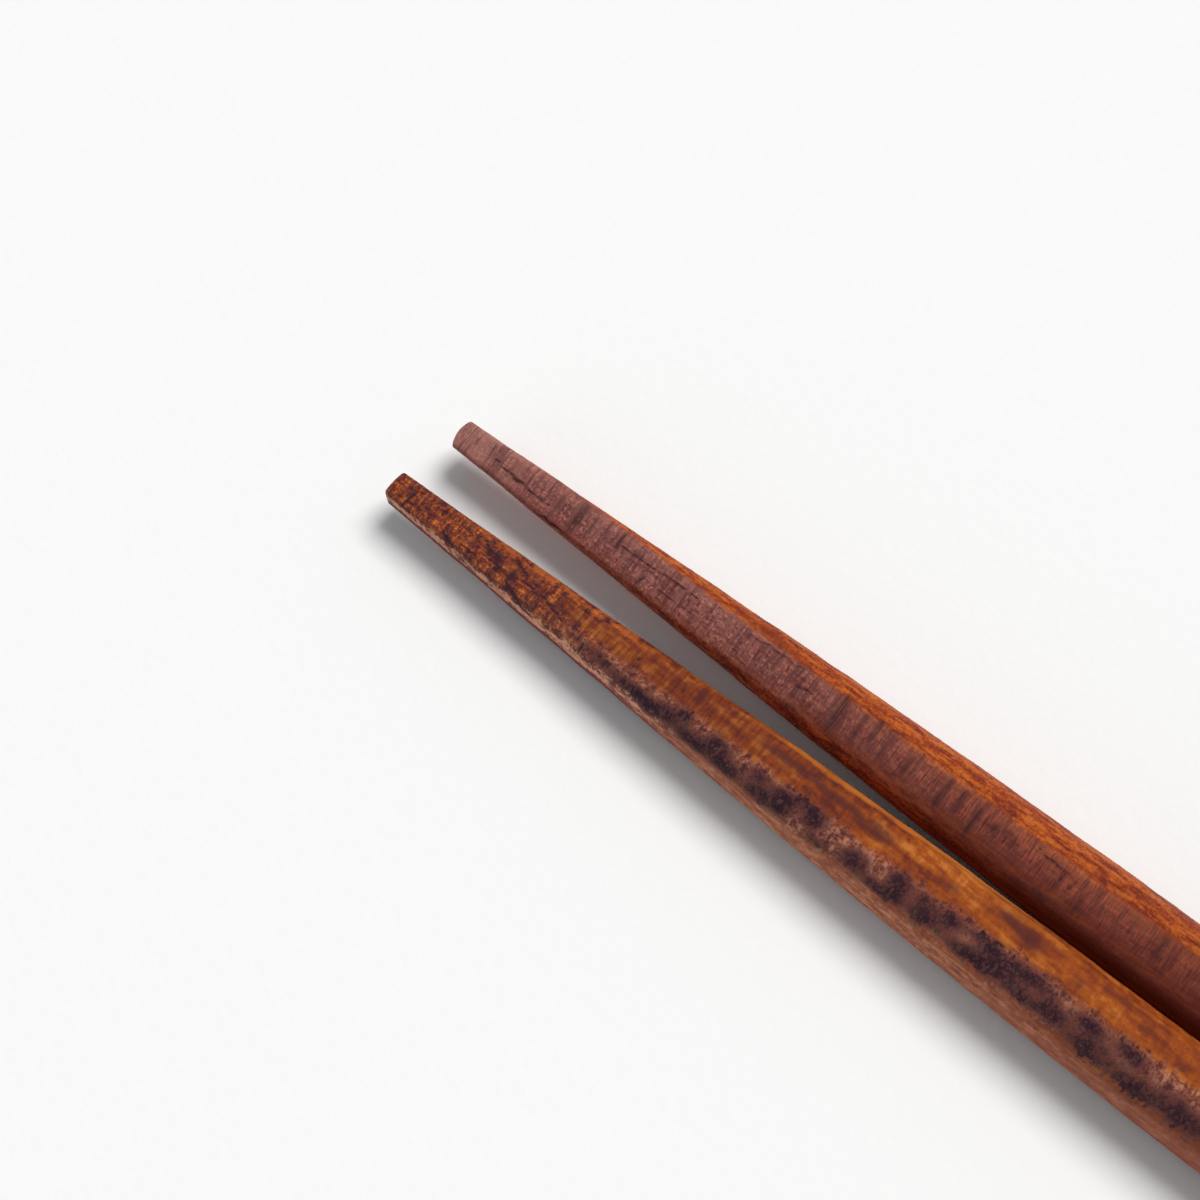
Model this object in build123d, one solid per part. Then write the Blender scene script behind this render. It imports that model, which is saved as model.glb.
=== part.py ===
from build123d import *
import os
from math import atan, cos, degrees, radians, sin, tan

# Driving dimensions of one stick, in millimetres
LENGTH = 230.0           # from the end of the tip to the end of the grip
NEAR_TIP_WIDTH = 2.5     # across the flats at the end of the near stick's tip
FAR_TIP_WIDTH = 2.72     # the same on the far stick, which is finished a little wider there
FLAT_WIDTH = 1.8         # each of the four sides keeps one flat of this width from end to end
TIP_EDGE = 0.28          # rounding round the end of the tip
SHOULDER_REACH = 55.0    # from the tip to where the tip's slope and the body's slope would cross
SHOULDER_WIDTH = 7.3     # across the flats at that crossing
SHOULDER_BLEND = 24.0    # the sweep between the two slopes runs this far each way from the crossing
GRIP_WIDTH = 8.0         # across the flats at the end of the grip
GRIP_EDGE = 1.8          # rounding round the end of the grip

# How the pair lies, in degrees and millimetres
FAR_ROLL = 18.0          # turn of the far stick about its own axis, its upper side towards the near stick
PAIR_CLEARANCE = 0.12    # between the two bodies, which lie side by side
TIP_STAGGER = 1.05       # the far tip lies this much behind the near tip

# A rounding at an end takes at most this share of the corner that it runs out on
ROUNDING_SHARE = 0.9

# With flats of one width the corners grow rounder as the stick grows thicker: nearly sharp at the tip,
# generous in the hand.
SHOULDER_CORNER = (SHOULDER_WIDTH - FLAT_WIDTH) / 2
GRIP_CORNER = (GRIP_WIDTH - FLAT_WIDTH) / 2

# Slope of one side along the body
BODY_SLOPE = atan((GRIP_CORNER - SHOULDER_CORNER) / (LENGTH - SHOULDER_REACH))

# A square section has four sides, a quarter turn apart
SIDES = 4
QUARTER_TURN = 360 / SIDES


def corner_profile(tip_width: float) -> Face:
    """Outline along the stick, from the axis of one rounded corner out to the skin."""
    tip_corner = (tip_width - FLAT_WIDTH) / 2
    tip_slope = atan((SHOULDER_CORNER - tip_corner) / SHOULDER_REACH)
    skin = FilletPolyline(
        (0, 0),
        (0, tip_corner),
        (SHOULDER_REACH, SHOULDER_CORNER),
        (LENGTH, GRIP_CORNER),
        (LENGTH, 0),
        radius=[
            min(TIP_EDGE, ROUNDING_SHARE * tip_corner),
            SHOULDER_BLEND / tan(abs(tip_slope - BODY_SLOPE) / 2),
            min(GRIP_EDGE, ROUNDING_SHARE * GRIP_CORNER),
        ],
    )
    return make_face(skin + Line((LENGTH, 0), (0, 0)))


def make_stick(tip_width: float) -> Part:
    """One stick along +X, its tip at the origin: a square core, four flats and four turned corners."""
    profile = corner_profile(tip_width)
    half_flat = FLAT_WIDTH / 2
    core = Pos(LENGTH / 2, 0, 0) * Box(LENGTH, FLAT_WIDTH, FLAT_WIDTH)
    flat = Pos(0, half_flat, -half_flat) * extrude(profile, FLAT_WIDTH)
    corner = Pos(0, half_flat, half_flat) * revolve(profile, Axis.X, QUARTER_TURN)
    turns = [Rot(X=QUARTER_TURN * side) for side in range(SIDES)]
    return core + [turn * flat for turn in turns] + [turn * corner for turn in turns]


def lay_down(stick: Part, roll: float, side: int, tip_x: float) -> Part:
    """Lay a stick with its body on the ground and its inner side along the X axis.

    The stick is rolled about its own axis, pitched until the underside of its body is level, and yawed
    until the side towards the other stick is parallel to X. Side is -1 for the near stick, 1 for the far.
    """
    turn = radians(roll)
    corner_rise = FLAT_WIDTH / 2 * (cos(turn) + sin(turn) - 1)
    body_half_at_tip = SHOULDER_WIDTH / 2 - SHOULDER_REACH * tan(BODY_SLOPE)
    reach = (body_half_at_tip + corner_rise) * cos(BODY_SLOPE)
    pitch = degrees(BODY_SLOPE)
    place = Pos(tip_x, side * (PAIR_CLEARANCE / 2 + reach), reach)
    return place * Rot(Z=side * pitch) * Rot(Y=-pitch) * Rot(X=roll) * stick


near = lay_down(make_stick(NEAR_TIP_WIDTH), 0, -1, 0)
far = lay_down(make_stick(FAR_TIP_WIDTH), FAR_ROLL, 1, TIP_STAGGER)

# The origin is the middle of the pair's footprint, on the ground
footprint = near.bounding_box().add(far.bounding_box())
to_origin = Pos(-footprint.center().X, -footprint.center().Y, 0)

os.makedirs("parts", exist_ok=True)
for node, piece in (("near_chopstick", near), ("far_chopstick", far)):
    export_step(to_origin * piece, f"parts/{node}.step")
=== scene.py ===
"""A pair of worn wooden chopsticks lying side by side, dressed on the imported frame.

Each stick is one skin worked out on a grid: a square section with four even flats and corners that
grow rounder, carried along a straight tip slope, a long sweep and a nearly even body. Lengths that
follow the surface (along from the tip, across from the middle of the upper side, negative towards
the viewer) are in millimetres, places in the scene are in metres.
"""

from __future__ import annotations

import logging
from dataclasses import dataclass, field
from enum import Enum
from math import atan, cos, pi, radians, sin, tan

import bpy
import numpy as np
from mathutils import Euler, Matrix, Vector

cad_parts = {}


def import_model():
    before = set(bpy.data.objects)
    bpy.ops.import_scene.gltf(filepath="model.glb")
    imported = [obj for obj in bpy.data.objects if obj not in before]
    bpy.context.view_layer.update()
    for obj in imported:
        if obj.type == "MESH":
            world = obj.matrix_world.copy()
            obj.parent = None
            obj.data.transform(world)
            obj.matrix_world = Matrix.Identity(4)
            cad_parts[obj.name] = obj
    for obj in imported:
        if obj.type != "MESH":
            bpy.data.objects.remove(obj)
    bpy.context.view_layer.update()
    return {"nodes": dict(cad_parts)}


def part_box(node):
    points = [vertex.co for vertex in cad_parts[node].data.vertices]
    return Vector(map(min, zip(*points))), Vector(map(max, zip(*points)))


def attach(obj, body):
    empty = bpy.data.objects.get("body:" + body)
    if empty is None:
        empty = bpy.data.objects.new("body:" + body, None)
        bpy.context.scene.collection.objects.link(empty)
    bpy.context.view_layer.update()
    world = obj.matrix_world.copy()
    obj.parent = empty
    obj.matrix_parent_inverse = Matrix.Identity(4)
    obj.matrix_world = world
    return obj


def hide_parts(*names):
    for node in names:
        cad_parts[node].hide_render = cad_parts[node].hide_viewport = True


log = logging.getLogger("chopsticks")

MM = 0.001
SKIN_MAP = "skin"
NOISE_MIDDLE = 0.5

# Waves round a stick are as long as those along it, on this girth in millimetres, and at least so many
GIRTH = 14.0
FEWEST_LOBES = 2

Colour = tuple[float, float, float]
Spot = tuple[float, float]
Limits = tuple[float, float, float]
Stops = tuple[tuple[float, Colour], ...]


class Side(Enum):
    """Which of the two sticks: the value is its side of the gap, across the pair."""

    NEAR = -1
    FAR = 1


class Field(Enum):
    """Values kept at each mesh point of a stick: its share of a side, and the placed marks by kind."""

    SHARE = "share_of_side"
    CRACKS = "cracks"
    SPOTS = "spots"
    CLOUDS = "clouds"
    STAINS = "stains"
    WORN = "worn_edge"


def paint(red: int, green: int, blue: int) -> Colour:
    """Linear colour shown as these levels of 0 to 255: low ones are scaled, others follow a 2.4 power."""
    levels = (level / 255 for level in (red, green, blue))
    return tuple(v / 12.92 if v <= 0.04045 else ((v + 0.055) / 1.055) ** 2.4 for v in levels)


# The fill lamps are a little cooler than the key, which keeps the floor's shadows grey beside the warm wood
KEY_TINT: Colour = (1.0, 0.98, 0.965)
FILL_TINT: Colour = (0.88, 0.97, 1.0)


# Shader building


@dataclass(frozen=True)
class Noise:
    """Soft noise, about 0.3 to 0.7 round its middle.

    Along and across are the sizes of one lump on the stick, in millimetres.
    """

    along: float
    across: float
    seed: float
    rough: float = 0.6
    detail: float = 2.0


class Wire:
    """One output socket. Its operators add Math nodes, so shader maths reads as plain arithmetic."""

    def __init__(self, shader: "Shader", socket: bpy.types.NodeSocket) -> None:
        """Keep the socket and the shader that new nodes go to."""
        self.shader = shader
        self.socket = socket

    def math(self, operation: str, *others: "Wire | float") -> "Wire":
        """Add a Math node on this value.

        Args:
            operation: the Math node's operation.
            others: its second and third values.

        Returns:
            The node's result.
        """
        values = {"Value": self}
        values.update(zip(("Value_001", "Value_002"), others))
        return self.shader.node("ShaderNodeMath", {"operation": operation}, values)

    def __add__(self, other: "Wire | float") -> "Wire":
        """This plus other."""
        return self.math("ADD", other)

    __radd__ = __add__

    def __sub__(self, other: "Wire | float") -> "Wire":
        """This less other."""
        return self.math("SUBTRACT", other)

    def __rsub__(self, other: float) -> "Wire":
        """A number less this."""
        return self.math("MULTIPLY_ADD", -1.0, other)

    def __mul__(self, other: "Wire | float") -> "Wire":
        """This times other."""
        return self.math("MULTIPLY", other)

    __rmul__ = __mul__

    def most(self, other: "Wire | float") -> "Wire":
        """The larger of this and other."""
        return self.math("MAXIMUM", other)

    def rise(self, low: float, high: float) -> "Wire":
        """Smooth step, which falls instead where low lies above high.

        Args:
            low: value that gives 0.
            high: value that gives 1.

        Returns:
            The step, from 0 to 1.
        """
        settings = {"interpolation_type": "SMOOTHSTEP"}
        values = {"Value": self, "From Min": low, "From Max": high}
        return self.shader.node("ShaderNodeMapRange", settings, values)

    def within(self, low: float, high: float, soft: float) -> "Wire":
        """1 between low and high, fading to 0 over soft at both ends."""
        return self.rise(low - soft, low + soft) * self.rise(high + soft, high - soft)

    def swing(self, amount: float) -> "Wire":
        """A noise's lift over its middle, times an amount."""
        return (self - NOISE_MIDDLE) * amount

    def ramp(self, stops: Stops) -> "Wire":
        """Colour of this value, by a ramp's stops."""
        return self.shader.node("ShaderNodeValToRGB", {"stops": stops}, {"Fac": self})

    def under(self, share: "Wire | float", colour: "Wire | Colour") -> "Wire":
        """This colour under another one, which covers it by its share.

        Args:
            share: 0 leaves this colour, 1 gives the other.
            colour: the other colour.

        Returns:
            The blended colour.
        """
        settings = {"data_type": "RGBA", "clamp_factor": True}
        values = {"Factor_Float": share, "A_Color": self, "B_Color": colour}
        return self.shader.node("ShaderNodeMix", settings, values, "Result_Color")


class Shader:
    """The node tree of one material or of the world."""

    def __init__(self, owner: bpy.types.Material | bpy.types.World) -> None:
        """Start with an empty tree.

        Args:
            owner: the material or world that the nodes belong to.
        """
        self.owner = owner
        owner.use_nodes = True
        owner.node_tree.nodes.clear()

    def node(
        self,
        kind: str,
        settings: dict[str, object] | None = None,
        values: dict[str, object] | None = None,
        output: str | None = None,
    ) -> Wire:
        """Add one node.

        Args:
            kind: the node's type name.
            settings: its own properties, or a ramp's stops, which are set first.
            values: numbers, colours or wires for its input sockets, by socket identifier or name.
            output: identifier or name of the wanted output, the first one if left out.

        Returns:
            The wanted output.
        """
        made = self.owner.node_tree.nodes.new(kind)
        for name, setting in (settings or {}).items():
            if name == "stops":
                self.fill(made.color_ramp, setting)
            else:
                setattr(made, name, setting)
        for name, value in (values or {}).items():
            socket = self.find(made.inputs, name)
            if isinstance(value, Wire):
                self.owner.node_tree.links.new(value.socket, socket)
            elif isinstance(value, tuple) and socket.type == "RGBA":
                socket.default_value = (*value, 1.0)
            else:
                socket.default_value = value
        found = self.find(made.outputs, output) if output else next(iter(made.outputs), None)
        return Wire(self, found)

    @staticmethod
    def fill(ramp: bpy.types.ColorRamp, stops: Stops) -> None:
        """Give a ramp its stops.

        Args:
            ramp: the ramp, which starts with two stops.
            stops: positions and colours, in rising order.
        """
        for position, _ in stops[2:]:
            ramp.elements.new(position)
        for element, (position, colour) in zip(ramp.elements, stops):
            element.position = position
            element.color = (*colour, 1.0)

    @staticmethod
    def find(sockets: bpy.types.bpy_prop_collection, name: str) -> bpy.types.NodeSocket:
        """The socket with that identifier or, failing that, that name."""
        by_identifier = {socket.identifier: socket for socket in sockets}
        return by_identifier.get(name) or sockets[name]

    def noise(self, at: Wire, kind: Noise) -> Wire:
        """Value of a noise.

        Args:
            at: place on the stick in millimetres.
            kind: the noise, whose seed moves it to its own part of the pattern.

        Returns:
            The noise value.
        """
        per_unit = (1 / kind.along, 1 / kind.across, 1 / kind.across)
        shift = (kind.seed, 2 * kind.seed, 3 * kind.seed)
        values = {"Vector": at, "Vector_001": per_unit, "Vector_002": shift}
        place = self.node("ShaderNodeVectorMath", {"operation": "MULTIPLY_ADD"}, values)
        values = {"Vector": place, "Scale": 1.0, "Detail": kind.detail, "Roughness": kind.rough}
        return self.node("ShaderNodeTexNoise", {"noise_dimensions": "3D"}, values)


# Marks that are placed one by one


def ripple(along: np.ndarray, turned: np.ndarray, count: int, reach: Spot, seed: int) -> np.ndarray:
    """A sum of cosine waves with drawn lengths, whole turns round the section and drawn phases.

    Args:
        along: distance along of each row.
        turned: angle of each column.
        count: how many waves are added.
        reach: shortest and longest wave.
        seed: seed of the draw.

    Returns:
        Heights from about -1 to 1 for each row and column.
    """
    draw = np.random.default_rng(seed)
    pace = 2 * pi / draw.uniform(*reach, count)
    most_lobes = max(FEWEST_LOBES, int(GIRTH / reach[1]))
    lobes = draw.integers(0, 1 + most_lobes, count) * draw.choice([-1, 1], count)
    phase = draw.uniform(0, 2 * pi, count)
    lengthwise = along[:, None] * pace + phase
    round_about = turned[:, None] * lobes
    waves = np.cos(lengthwise) @ np.cos(round_about).T - np.sin(lengthwise) @ np.sin(round_about).T
    return waves / np.sqrt(count)


@dataclass(frozen=True)
class Crack:
    """A fine line that thins out at both ends.

    It runs straight from point to point (along, across), in millimetres.
    """

    points: tuple[Spot, ...]
    width: float = 0.11
    strength: float = 0.9
    spread: float = 2.6
    end_share: float = 0.35

    def field(self, along: np.ndarray, across: np.ndarray) -> np.ndarray:
        """Strength of the line at each place.

        It falls evenly with the distance from the nearest run, to none at the line's spread, and the
        spread shrinks towards both ends with the parabola of the share of the line's length passed.

        Args:
            along: distance from the tip.
            across: distance round the section.

        Returns:
            The strength, from 0 to 1.
        """
        nearest = np.full(along.shape, np.inf)
        passed = np.zeros(along.shape)
        length = 0.0
        for start, end in zip(self.points, self.points[1:]):
            step = np.subtract(end, start)
            off_along, off_across = along - start[0], across - start[1]
            share = np.clip((off_along * step[0] + off_across * step[1]) / (step @ step), 0, 1)
            miss = np.hypot(off_along - share * step[0], off_across - share * step[1])
            passed = np.where(miss < nearest, length + share * np.hypot(*step), passed)
            nearest = np.minimum(nearest, miss)
            length += np.hypot(*step)
        share = passed / length
        spread = self.spread * self.width * (self.end_share + (1 - self.end_share) * 4 * share * (1 - share))
        return self.strength * np.clip(1 - nearest / spread, 0, 1)


@dataclass(frozen=True)
class Blotch:
    """A soft stain: a bell over an ellipse about a place (along, across), in millimetres."""

    place: Spot
    half_length: float
    half_width: float
    strength: float = 1.0
    fall: float = 2.0

    def field(self, along: np.ndarray, across: np.ndarray) -> np.ndarray:
        """Strength of the stain at each place.

        The exponential of minus the squared distance along and a power of that across, both in half sizes.

        Args:
            along: distance from the tip.
            across: distance round the section.

        Returns:
            The strength, from 0 to 1.
        """
        off_along = (along - self.place[0]) / self.half_length
        off_across = (across - self.place[1]) / self.half_width
        return self.strength * np.exp(-(off_along**2) - np.abs(off_across) ** self.fall)


@dataclass(frozen=True)
class Streak(Blotch):
    """A stain across the grain, even almost to both of its ends."""

    fall: float = 6.0


Mark = Crack | Blotch


def blotches(*rows: tuple[float, ...], kind: type[Blotch] = Blotch) -> tuple[Blotch, ...]:
    """Stains from rows of place along and across, half length, half width and, unless 1, strength."""
    return tuple(kind((along, across), *sizes) for along, across, *sizes in rows)


# Finishes


class Wood:
    """A wood in work: its shader, where on the stick a point lies, and the noises made so far."""

    def __init__(self, name: str, place: Vector, turn: Euler) -> None:
        """Begin the material.

        Args:
            name: the material's name.
            place: the tip's middle in the scene, in metres.
            turn: how the stick is turned in the scene.
        """
        self.shader = Shader(bpy.data.materials.new(name))
        scene_place = self.shader.node("ShaderNodeTexCoord", output="Object")
        values = {"Vector": scene_place, "Location": place, "Rotation": turn, "Scale": (MM, MM, MM)}
        self.local = self.shader.node("ShaderNodeMapping", {"vector_type": "TEXTURE"}, values)
        skin = self.shader.node("ShaderNodeUVMap", {"uv_map": SKIN_MAP})
        self.along = self.shader.node("ShaderNodeSeparateXYZ", None, {"Vector": skin}, "X")
        self.across = self.shader.node("ShaderNodeSeparateXYZ", None, {"Vector": skin}, "Y")
        self.made: dict[Noise, Wire] = {}

    def noises(self, *kinds: Noise) -> list[Wire]:
        """Values of some noises at this place, each made once and then shared.

        Args:
            kinds: the noises.

        Returns:
            One value for each.
        """
        for kind in kinds:
            if kind not in self.made:
                self.made[kind] = self.shader.noise(self.local, kind)
        return [self.made[kind] for kind in kinds]

    def field(self, mark: Field) -> Wire:
        """Value that the mesh keeps at this point."""
        settings = {"attribute_type": "GEOMETRY", "attribute_name": mark.value}
        return self.shader.node("ShaderNodeAttribute", settings, None, "Fac")


@dataclass(frozen=True)
class WoodFinish:
    """What both finishes share: gloss of the lacquer, and how placed marks come together."""

    name: str
    specular: float = 0.10
    coat_roughness: float = 0.34
    end_grain: Spot = (228.6, 229.8)
    bump_height: float = 0.00003

    def placed(self) -> dict[Field, tuple[Mark, ...]]:
        """The placed marks by kind, none on a plain wood."""
        return {}

    def fields(self, along: np.ndarray, across: np.ndarray) -> dict[Field, np.ndarray]:
        """Strength of each kind of mark at each place of the skin.

        Clouds and stains run together and add up. Of other marks the strongest counts.

        Args:
            along: distance from the tip, a little wavy.
            across: distance round the section, a little wavy.

        Returns:
            The strengths by kind of mark.
        """
        strengths = {}
        for kind, marks in self.placed().items():
            merge = np.sum if kind in (Field.CLOUDS, Field.STAINS) else np.max
            strengths[kind] = merge([mark.field(along, across) for mark in marks], axis=0)
        return strengths

    def close(self, wood: Wood, colour: Wire, rough: Wire, coat: Wire, height: Wire) -> bpy.types.Material:
        """End the material in one lacquered surface.

        Args:
            wood: the wood in work.
            colour: colour of the wood.
            rough: roughness of the wood under the lacquer.
            coat: how much lacquer is left.
            height: relief, as a share of the bump's height.

        Returns:
            The finished material.
        """
        shader = wood.shader
        normal = shader.node("ShaderNodeBump", None, {"Height": height, "Distance": self.bump_height})
        values = {
            "Base Color": colour,
            "Roughness": rough,
            "Specular IOR Level": self.specular,
            "Coat Weight": coat,
            "Coat Roughness": self.coat_roughness,
            "Normal": normal,
        }
        surface = shader.node("ShaderNodeBsdfPrincipled", None, values)
        shader.node("ShaderNodeOutputMaterial", None, {"Surface": surface})
        return shader.owner


@dataclass(frozen=True)
class NearFinish(WoodFinish):
    """The near stick: amber upper side, mottled tip, stained ridge and a paler side below it."""

    name: str = "near_wood"
    grain: Noise = Noise(0.18, 0.22, 41.3, 0.7)
    fine: Noise = Noise(0.44, 0.50, 29.7, 0.65)
    lump: Noise = Noise(1.1, 0.8, 3.1)
    warp: Noise = Noise(2.0, 0.32, 31.9)
    weft: Noise = Noise(0.38, 3.0, 11.3)
    cloud: Noise = Noise(7.0, 1.2, 5.9, 0.55)
    net: Limits = (0.492, 0.508, 0.012)
    mottle: Stops = (
        (0.415, paint(46, 24, 38)),
        (0.46, paint(82, 38, 37)),
        (0.50, paint(118, 55, 35)),
        (0.54, paint(154, 75, 34)),
        (0.60, paint(200, 118, 64)),
    )
    amber: Stops = (
        (0.41, paint(88, 39, 30)),
        (0.455, paint(126, 56, 27)),
        (0.50, paint(151, 73, 25)),
        (0.545, paint(172, 89, 29)),
        (0.60, paint(204, 124, 54)),
    )
    # The ridge band's browns are the wood's own; its palest pink stops are painted glints
    ridge: Stops = (
        (0.41, paint(64, 34, 37)),
        (0.47, paint(104, 57, 48)),
        (0.52, paint(140, 84, 66)),
        (0.58, paint(184, 128, 104)),
    )
    lower: Stops = (
        (0.38, paint(118, 54, 36)),
        (0.50, paint(164, 91, 61)),
        (0.62, paint(206, 138, 102)),
    )
    lower_tip: Colour = paint(112, 44, 38)
    lower_grip: Colour = paint(140, 66, 42)
    amber_brown: Colour = paint(90, 38, 30)
    amber_deep: Colour = paint(130, 60, 27)
    stain_haze: Colour = paint(88, 46, 47)
    # Painted glints between the ridge's stains
    glint_pale: Colour = paint(190, 126, 100)
    stain_dark: Colour = paint(32, 17, 30)
    mark_dark: Colour = paint(50, 28, 36)
    patch_brown: Colour = paint(72, 39, 43)
    cloud_brown: Colour = paint(72, 32, 34)
    # The next two colours are painted highlights along the far corner, near the tip and on the body
    tip_rim_highlight: Colour = paint(182, 94, 42)
    rim_highlight_gold: Colour = paint(192, 114, 50)
    # Pale wear on the tip's near edge, partly painted glints
    wear_and_glint_pale: Colour = paint(224, 156, 124)
    cracks: tuple[Crack, ...] = (
        Crack(((2.6, 0.5), (2.4, -0.77), (2.1, -1.9)), 0.10, 0.8),
        Crack(((0.8, -0.34), (2.0, -0.62), (3.4, -0.75), (4.6, -0.7)), 0.08, 0.7),
        Crack(((6.8, -1.1), (8.2, -1.45)), 0.14),
        Crack(((8.5, -0.75), (9.3, -0.9), (9.9, -1.06), (10.5, -1.07)), 0.10),
        Crack(((10.0, 0.55), (10.8, 0.31), (11.3, 0.25), (12.2, 0.2)), 0.12),
        Crack(((11.2, -0.42), (12.2, -0.4), (13.3, -0.6), (13.7, -0.74), (14.0, -1.4)), 0.11),
        Crack(((13.8, -1.25), (14.8, -1.5), (15.5, -1.88), (16.2, -2.3), (17.0, -2.3)), 0.15),
        Crack(((13.0, 0.85), (13.7, 0.66), (14.8, 0.47)), 0.12),
        Crack(((15.0, -0.2), (16.4, -0.28), (17.1, -0.32), (18.0, -0.5), (18.8, -0.65), (19.9, -1.05)), 0.11),
        Crack(((20.9, 1.3), (21.0, -0.9)), 0.14, 0.5),
        Crack(((22.4, -1.3), (22.4, -2.7)), 0.13, 0.8),
    )
    spots: tuple[Blotch, ...] = blotches(
        (4.2, -0.12, 0.35, 0.25, 0.8), (4.7, -0.32, 0.35, 0.25, 0.8), (5.6, 0.55, 0.7, 0.25, 0.7),
        (3.8, -2.04, 0.28, 0.25, 0.9), (7.6, -1.36, 0.5, 0.28, 0.9), (11.2, 0.15, 0.35, 0.4, 0.8),
        (12.0, -0.05, 0.4, 0.35, 0.8), (13.6, 0.75, 0.4, 0.35, 0.8), (13.9, -0.6, 0.35, 0.5, 0.7),
        (15.7, -2.1, 0.6, 0.35, 0.9), (20.8, 1.09, 0.4, 0.35, 0.6), (26.8, 0.15, 0.35, 0.3, 0.8),
        (30.9, 0.35, 0.6, 0.3, 0.6), (34.2, 0.2, 0.7, 0.35, 0.6),
    )
    clouds: tuple[Blotch, ...] = blotches(
        (32.8, 1.0, 0.4, 1.4, 0.8), (40.3, 1.05, 2.2, 0.5, 0.9), (43.6, 1.2, 1.6, 0.5, 0.9),
        (46.7, 1.0, 2.4, 0.5, 0.9), (50.2, 0.8, 2.0, 0.7), (56.6, 0.9, 1.4, 0.5, 0.7),
        (62.2, 1.7, 1.6, 0.4), (63.8, 1.0, 0.9, 0.8), (63.5, 2.0, 3.2, 1.0, 0.45),
        (68.3, 0.9, 0.7, 0.7, 0.7), (80.0, 1.2, 2.0, 0.6, 0.6), (90.0, 0.9, 2.4, 0.5, 0.6),
    )
    stains: tuple[Blotch, ...] = blotches(
        (24.1, -1.5, 1.75, 0.55, 0.75), (27.0, -2.1, 1.50, 0.55, 0.75), (28.6, -1.8, 1.12, 0.55, 0.7),
        (29.7, -2.5, 1.38, 0.66), (31.4, -1.8, 1.25, 0.72), (32.8, -1.0, 0.75, 0.55),
        (34.3, -2.4, 1.62, 0.72), (36.4, -1.5, 1.38, 0.77), (37.7, -2.5, 1.50, 0.66),
        (40.3, -1.3, 1.12, 0.55, 0.8), (41.2, -2.6, 1.38, 0.77), (43.0, -1.4, 1.12, 0.61),
        (43.2, -2.4, 1.00, 0.66, 0.9), (45.2, -0.8, 1.50, 0.55), (45.8, -1.7, 1.00, 0.61),
        (46.7, -2.9, 0.88, 0.44, 0.7), (50.0, -2.2, 1.25, 0.99), (52.2, -2.8, 0.88, 0.44, 0.8),
        (53.7, -1.2, 1.12, 0.88), (53.7, -2.6, 1.00, 0.77), (56.5, -2.4, 1.38, 0.77),
        (56.0, -1.2, 0.88, 0.55, 0.8), (58.3, -1.1, 1.12, 0.88), (60.7, -2.7, 1.88, 0.66),
        (61.4, -0.95, 1.50, 0.55), (63.0, -2.0, 1.75, 0.99), (65.4, -0.9, 1.88, 0.66),
        (65.4, -2.6, 1.12, 0.66, 0.8), (67.8, -2.2, 1.38, 0.88), (70.5, -1.0, 1.25, 0.66),
        (71.4, -2.7, 1.88, 1.10), (74.1, -0.9, 1.50, 0.66), (75.2, -3.0, 1.62, 0.99),
        (79.0, -2.4, 2.38, 1.21), (83.5, -2.8, 2.00, 1.10, 0.9), (88.0, -1.6, 2.00, 0.88, 0.8),
    )
    # Pale patches on the ridge: partly wear, partly painted glints
    wear_and_glint_patches: tuple[Blotch, ...] = blotches(
        (2.6, -2.2, 0.9, 0.2, 0.9), (14.3, -2.45, 1.0, 0.3), (18.3, -2.6, 1.4, 0.36),
        (20.4, -2.6, 1.3, 0.42), (23.0, -2.9, 1.0, 0.4, 0.9), (25.3, -3.1, 0.9, 0.34),
        (28.5, -3.3, 1.2, 0.3, 0.9),
    )

    def placed(self) -> dict[Field, tuple[Mark, ...]]:
        """The placed marks by kind.

        Returns:
            Each kind's marks.
        """
        return {
            Field.CRACKS: self.cracks,
            Field.SPOTS: self.spots,
            Field.CLOUDS: self.clouds,
            Field.STAINS: self.stains,
            Field.WORN: self.wear_and_glint_patches,
        }

    def material(self, place: Vector, turn: Euler) -> bpy.types.Material:
        """Lay the near stick's colours over each other.

        Args:
            place: the tip's middle in the scene, in metres.
            turn: how the stick is turned in the scene.

        Returns:
            The material.
        """
        wood = Wood(self.name, place, turn)
        grain, fine, weft = wood.noises(self.grain, self.fine, self.weft)
        amber = self.ground(wood)
        colour = amber
        for layer in (self.clouded, self.mottled_tip, self.ridge_band, self.lower_side):
            colour = layer(wood, colour)
        colour, stain = self.stained(wood, colour)
        colour = self.rubbed_and_glint(wood, colour)
        marks = self.marked(wood)
        colour = colour.under(marks * 0.9, self.mark_dark)
        colour = colour.under(wood.along.rise(*self.end_grain), amber)
        dark = marks.most(stain)
        coat = (1.0 - dark) * 0.09
        rough = fine * 0.3 + 0.42
        height = grain * 0.9 - marks * 0.8 - dark * 0.3 + weft * 0.5
        return self.close(wood, colour, rough, coat, height)

    def ground(self, wood: Wood) -> Wire:
        """The amber wood itself, cloudy and with cross streaks that fade along the body.

        Args:
            wood: the wood in work.

        Returns:
            Its colour.
        """
        cloud, lump, weft, fine = wood.noises(self.cloud, self.lump, self.weft, self.fine)
        streaky = weft.swing(0.24) * wood.along.rise(48.0, 36.0)
        return (cloud * 0.46 + lump * 0.28 + weft * 0.12 + fine * 0.14 + streaky).ramp(self.amber)

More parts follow.
